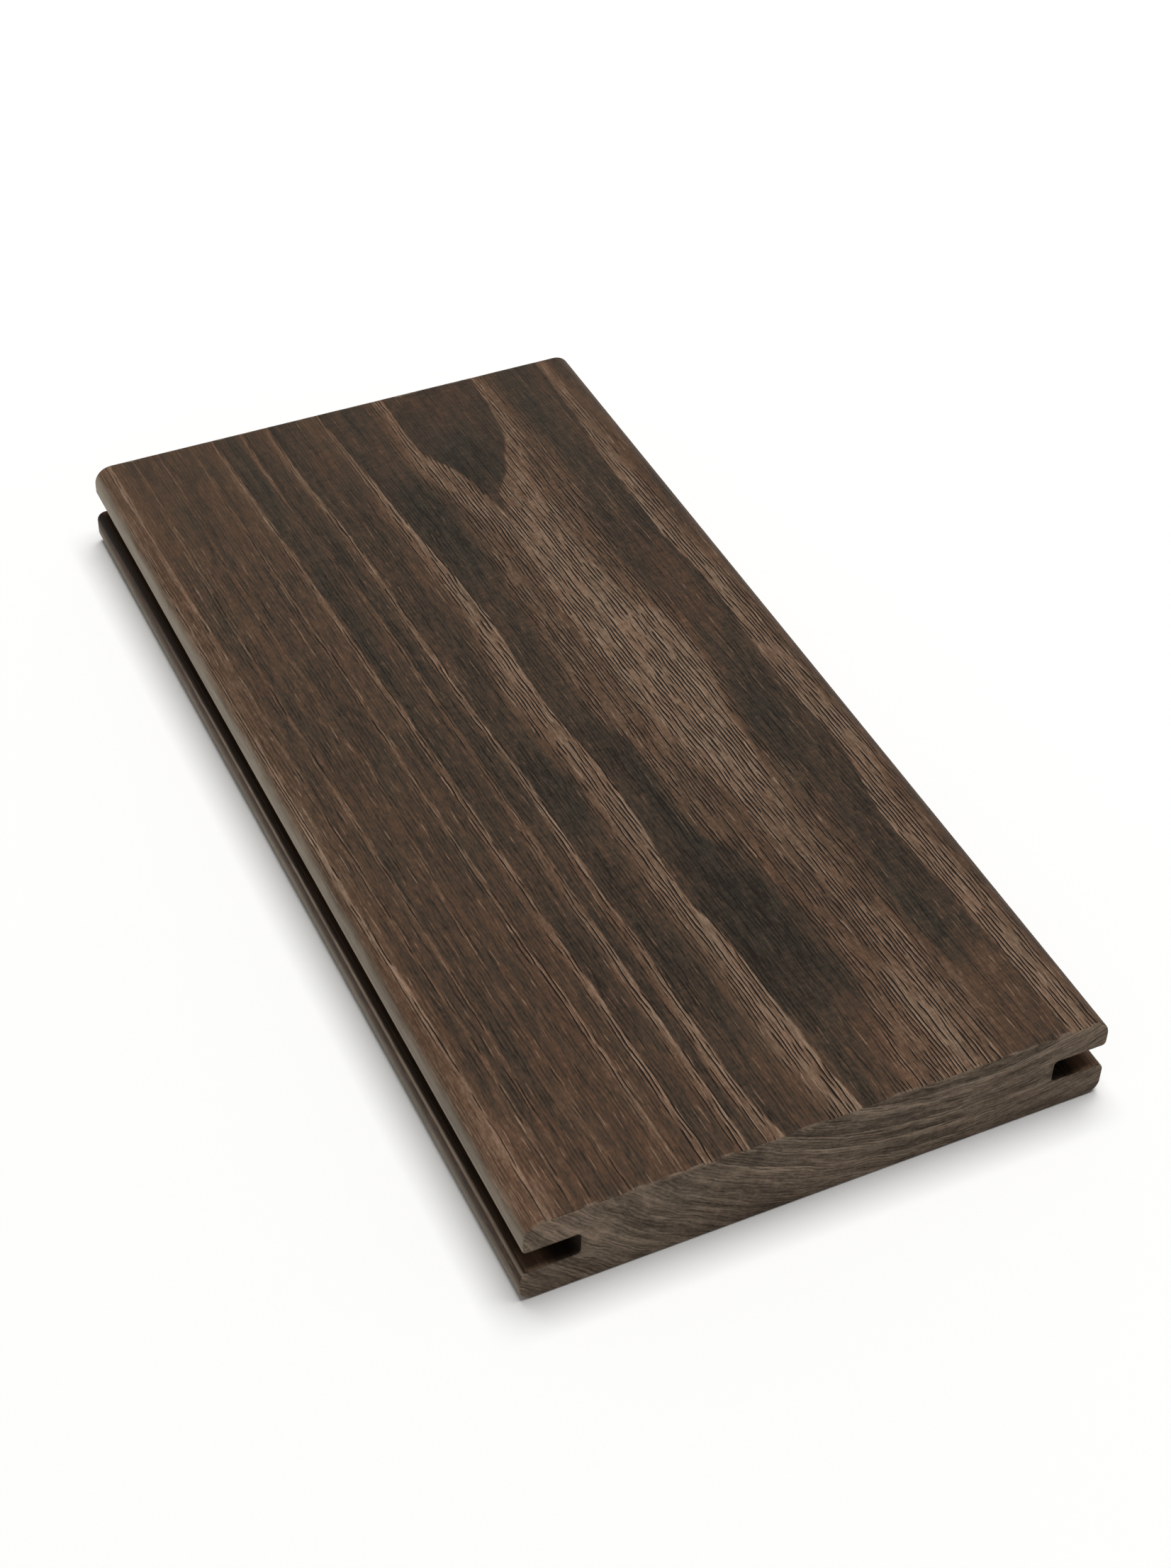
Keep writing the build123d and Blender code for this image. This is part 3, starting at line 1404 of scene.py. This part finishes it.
    def _brush(self, group: Group, mesh: Socket) -> Socket:
        """Wears the soft early wood down a little below the late wood.

        Args:
            group: The board's geometry group.
            mesh: The board with eased ends.

        Returns:
            The brushed board.
        """
        graph = group.graph
        position = graph.vector("MULTIPLY", graph.out("GeometryNodeInputPosition"), METRES_TO_MM)
        growth = self.figure.wire(graph, position)
        ripple = graph.times(self.ripple.wire(graph, growth["Along"]), self.ripple_share)
        sunk = graph.plus(ripple, growth["Early"], 1.0 - self.ripple_share)
        depth = graph.times(sunk, group.get("Brushed depth"), -1.0)
        return self._push(graph, mesh, depth, depth)

    def _dress(self, group: Group, mesh: Socket) -> Socket:
        """Smooths the milled faces and gives each cut its material.

        Args:
            group: The board's geometry group.
            mesh: The finished shape.

        Returns:
            The dressed board.
        """
        graph, get = group.graph, group.get
        endwise = graph.away(graph.split(graph.add("GeometryNodeInputNormal").outputs[1])[0])
        flat_end = graph.math("GREATER_THAN", endwise, self.flat_end_slope)
        dressed = graph.out("GeometryNodeSetShadeSmooth", {"Geometry": mesh, "Shade Smooth": True})
        crisp = {"Geometry": dressed, "Selection": flat_end, "Shade Smooth": False}
        dressed = graph.out("GeometryNodeSetShadeSmooth", crisp)
        z = graph.split(graph.out("GeometryNodeInputPosition"))[2]
        margin = self.groove_margin * MM
        floor = graph.minus(get("Lower lip height"), margin)
        ceiling = graph.plus(graph.plus(get("Lower lip height"), get("Groove height")), margin)
        in_groove = graph.times(graph.math("GREATER_THAN", z, floor), graph.math("LESS_THAN", z, ceiling))
        sawn = graph.math("GREATER_THAN", endwise, self.sawn_slope)
        for chosen, cut in ((True, Cut.FACE), (in_groove, Cut.GROOVE), (sawn, Cut.END)):
            wood = {"Geometry": dressed, "Selection": chosen, "Material": get(cut.label)}
            dressed = graph.out("GeometryNodeSetMaterial", wood)
        return graph.out("GeometryNodeRemoveAttribute", {"Geometry": dressed, "Name": "outward"})


@dataclass(frozen=True)
class PhotoCamera:
    """The photograph's viewpoint, found from the board's outline; millimetres and degrees."""

    azimuth: float = 63.5052
    elevation: float = 42.6045
    roll: float = 1.8685
    focal_pixels: float = 3845.41
    offset: Triple = (-9.9012, 0.7454, 717.9586)
    sensor: float = 36.0
    nearest: float = 10.0
    farthest: float = 100000.0

    def place(self) -> bpy.types.Object:
        """Makes the camera and sets it as the scene's own.

        Returns:
            The camera object.
        """
        angles = (self.azimuth, self.elevation, self.roll)
        azimuth, elevation, roll = (math.radians(angle) for angle in angles)
        out = math.cos(elevation)
        back = Vector((math.sin(azimuth) * out, -math.cos(azimuth) * out, math.sin(elevation)))
        level = (-back).cross(Vector((0.0, 0.0, 1.0))).normalized()
        upright = level.cross(-back)
        right = math.cos(roll) * level + math.sin(roll) * upright
        up = -math.sin(roll) * level + math.cos(roll) * upright
        shift_right, shift_down, ahead = self.offset
        eye = (-shift_right * right + shift_down * up + ahead * back) * MM
        lens = bpy.data.cameras.new("photo_camera")
        lens.sensor_fit = "VERTICAL"
        lens.sensor_height = self.sensor
        lens.lens = self.sensor * self.focal_pixels / PHOTO_HEIGHT
        lens.clip_start = self.nearest * MM
        lens.clip_end = self.farthest * MM
        camera = bpy.data.objects.new("photo_camera", lens)
        turn = Matrix((right, up, back)).transposed().to_4x4()
        camera.matrix_world = Matrix.Translation(eye) @ turn
        bpy.context.scene.collection.objects.link(camera)
        bpy.context.scene.camera = camera
        return camera


@dataclass(frozen=True)
class Studio:
    """A pale floor, one wide soft lamp overhead and a pale room round them; sizes in metres."""

    floor_half: float = 15.0
    floor_colour: Colour = (0.95, 0.95, 0.94, 1.0)
    lamp_size: float = 4.0
    lamp_place: Triple = (-0.7, 0.87, 6.0)
    lamp_watts: float = 380.0
    room_low: float = 0.5
    room_high: float = 0.14
    room_turn: Span = (0.15, 0.5)
    floor_fade: Span = (1.0, 2.4)

    def floor(self) -> bpy.types.Object:
        """Lays the floor that the board rests on.

        Returns:
            The floor object.
        """
        half = self.floor_half
        outline = [(-half, -half, 0.0), (half, -half, 0.0), (half, half, 0.0), (-half, half, 0.0)]
        mesh = bpy.data.meshes.new("floor")
        mesh.from_pydata(outline, [], [(0, 1, 2, 3)])
        material = bpy.data.materials.new("pale_floor")
        material.use_nodes = True
        material.node_tree.nodes.clear()
        graph = Graph(material.node_tree)
        matt = {"Base Color": self.floor_colour, "Roughness": 1.0, "Specular IOR Level": 0.0}
        shader = graph.out("ShaderNodeBsdfPrincipled", matt)
        white = graph.out("ShaderNodeEmission", {"Color": WHITE, "Strength": 1.0})
        place = graph.add("ShaderNodeTexCoord").outputs["Object"]
        away = graph.add("ShaderNodeVectorMath", {0: place}, operation="LENGTH").outputs["Value"]
        far = graph.times(graph.ramp(away, *self.floor_fade), self._seen(graph))
        look = graph.out("ShaderNodeMixShader", {0: far, 1: shader, 2: white})
        graph.add("ShaderNodeOutputMaterial", {"Surface": look})
        mesh.materials.append(material)
        floor = bpy.data.objects.new("floor", mesh)
        bpy.context.scene.collection.objects.link(floor)
        return floor

    @staticmethod
    def _seen(graph: Graph) -> Socket:
        """Gives 1 where the background itself is looked at, straight or by reflection."""
        path = graph.add("ShaderNodeLightPath").outputs
        return graph.largest(*(path[f"Is {ray} Ray"] for ray in ("Glossy", "Transmission", "Camera")))

    def light(self) -> None:
        """Hangs the soft lamp and sets the room's own glow, white where it is looked at."""
        lamp = bpy.data.lights.new("soft_lamp", "AREA")
        lamp.shape = "SQUARE"
        lamp.size = self.lamp_size
        lamp.energy = self.lamp_watts
        hung = bpy.data.objects.new("soft_lamp", lamp)
        hung.location = self.lamp_place
        bpy.context.scene.collection.objects.link(hung)
        world = bpy.data.worlds.new("pale_room")
        world.use_nodes = True
        world.node_tree.nodes.clear()
        graph = Graph(world.node_tree)
        rise = graph.split(graph.add("ShaderNodeTexCoord").outputs["Generated"])[2]
        room = graph.ramp(rise, *self.room_turn, self.room_low, self.room_high)
        glow = graph.mix(self._seen(graph), room, 1.0)
        background = graph.out("ShaderNodeBackground", {"Color": WHITE, "Strength": glow})
        graph.add("ShaderNodeOutputWorld", {"Surface": background})
        bpy.context.scene.world = world


def corners(box: tuple[Sequence[float], Sequence[float]]) -> list[list[float]]:
    """Gives a box's two corners as plain lists."""
    return [[float(part) for part in corner] for corner in box]


def main() -> None:
    """Builds the board and its studio."""
    logging.basicConfig(level=logging.INFO, format="%(name)s: %(message)s")
    cad_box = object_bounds()
    sizes = BoardSizes()
    figure = GrainFigure()
    board = DeckingBoard(sizes, figure, WoodGroups(sizes, figure)).build()
    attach(board, "root")
    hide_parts("decking_board")
    triangles = sum(len(face.vertices) - 2 for face in board.data.polygons)
    LOG.info("%s: %d vertices, %d triangles", board.name, len(board.data.vertices), triangles)
    studio = Studio()
    floor = studio.floor()
    floor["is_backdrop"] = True
    studio.light()
    LOG.info("%s: studio floor, lamp and room", floor.name)
    camera = PhotoCamera().place()
    LOG.info("%s: lens %.2f mm", camera.name, camera.data.lens)
    bpy.context.scene.view_settings.view_transform = "Standard"
    {"cad": corners(cad_box), "visual": corners(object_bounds())}


if __name__ == "__main__":
    main()
